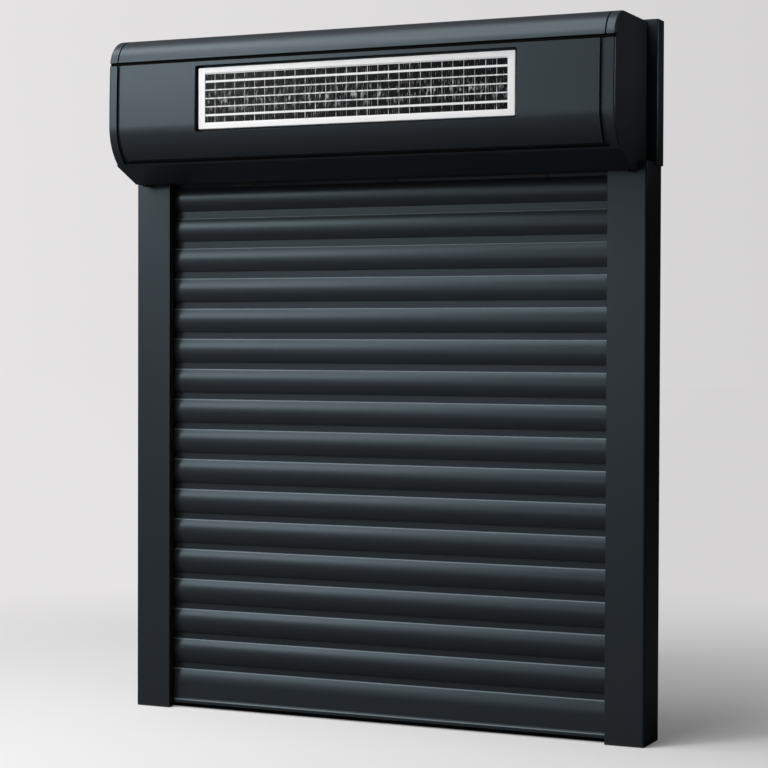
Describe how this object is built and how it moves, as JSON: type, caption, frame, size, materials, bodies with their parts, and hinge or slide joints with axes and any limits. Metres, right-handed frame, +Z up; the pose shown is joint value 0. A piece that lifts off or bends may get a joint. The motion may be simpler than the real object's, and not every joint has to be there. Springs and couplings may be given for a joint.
{
  "type": "exterior roller shutter",
  "caption": "Exterior roller shutter for a small window: slatted curtain in two side rails, rounded box with a flush solar panel, barrel, motor and battery inside.",
  "frame": {"origin": "bottom centre of the whole part: middle of the width, sill level under the rails, half-way between the wall plane and the front of the box", "axes": "+X to the right as seen from outside, +Y into the wall (the wall plane is at y = +0.07175), +Z up"},
  "size_m": [0.695, 0.1436, 0.857],
  "materials": {
    "anthracite_coat": "satin fine-texture powder coat, anthracite grey",
    "bare_aluminium": "mill finish",
    "black_plastic": "moulded, fine grain",
    "brush_pile": "short woven pile",
    "seal_rubber": "soft EPDM, matt",
    "cable_jacket": "smooth cable jacket",
    "zinc_steel": "galvanised",
    "spring_steel": "blued spring strip",
    "motor_steel": "grey painted tube",
    "bearing_steel": "ground and polished",
    "screw_steel": "dark zinc",
    "white_frame": "white, slightly glossy",
    "solar_cells": "dark cells under clear glass",
    "battery_jacket": "grey sleeve"
  },
  "bodies": {
    "frame": {"back_panel": "anthracite_coat", "battery": "battery_jacket", "battery_clips": "black_plastic", "bearing_outer_ring": "bearing_steel", "bearing_plate": "zinc_steel", "bracket_screws": "screw_steel", "cable_clips": "black_plastic", "cap_screws": "screw_steel", "end_cap_left": "anthracite_coat", "end_cap_right": "anthracite_coat", "front_panel": "anthracite_coat", "hanger_straps": "spring_steel", "junction_box": "black_plastic", "lower_panel": "anthracite_coat", "motor_bracket": "zinc_steel", "motor_cable": "cable_jacket", "motor_head": "black_plastic", "motor_tube": "motor_steel", "rail_base_left": "bare_aluminium", "rail_base_right": "bare_aluminium", "rail_brushes": "brush_pile", "rail_cover_left": "anthracite_coat", "rail_cover_right": "anthracite_coat", "rail_feet": "black_plastic", "solar_cable": "cable_jacket", "solar_frame": "white_frame", "solar_gasket": "seal_rubber", "solar_laminate": "solar_cells", "throat_guide": "black_plastic", "top_shell": "anthracite_coat"},
    "curtain": {"slat_01": "anthracite_coat", "slat_02": "anthracite_coat", "slat_03": "anthracite_coat", "slat_04": "anthracite_coat", "slat_05": "anthracite_coat", "slat_06": "anthracite_coat", "slat_07": "anthracite_coat", "slat_08": "anthracite_coat", "slat_09": "anthracite_coat", "slat_10": "anthracite_coat", "slat_11": "anthracite_coat", "slat_12": "anthracite_coat", "slat_13": "anthracite_coat", "slat_14": "anthracite_coat", "slat_15": "anthracite_coat", "slat_16": "anthracite_coat", "end_locks": "black_plastic", "bottom_bar": "anthracite_coat", "bar_end_plugs": "black_plastic", "bar_seal": "seal_rubber", "hanger_clips": "black_plastic"},
    "barrel": {"barrel_tube": "zinc_steel", "crown_ring": "black_plastic", "drive_wheel": "bare_aluminium", "motor_shaft": "bearing_steel", "idler_capsule": "black_plastic", "idler_pin": "bearing_steel", "bearing_inner_ring": "bearing_steel"},
    "roller_set": {"bearing_rollers": "bearing_steel"}
  },
  "joints": [
    {"name": "curtain_lift", "type": "slide", "parent": "frame", "child": "curtain", "axis": [0, 0, 1], "range_m": [0, 0.0975], "deforming": ["hanger_straps"]},
    {"name": "barrel_spin", "type": "hinge", "parent": "frame", "child": "barrel", "pos_m": [0, -0.00425, 0.775], "axis": [1, 0, 0], "range_deg": [0, 146.2]},
    {"name": "bearing_spin", "type": "hinge", "parent": "frame", "child": "roller_set", "pos_m": [0.32, -0.00425, 0.775], "axis": [1, 0, 0], "range_deg": [0, 58]}
  ],
  "couplings": [
    {"joint": "barrel_spin", "follows": "curtain_lift", "rad_per_m": 26.144},
    {"joint": "bearing_spin", "follows": "curtain_lift", "rad_per_m": 10.354}
  ]
}
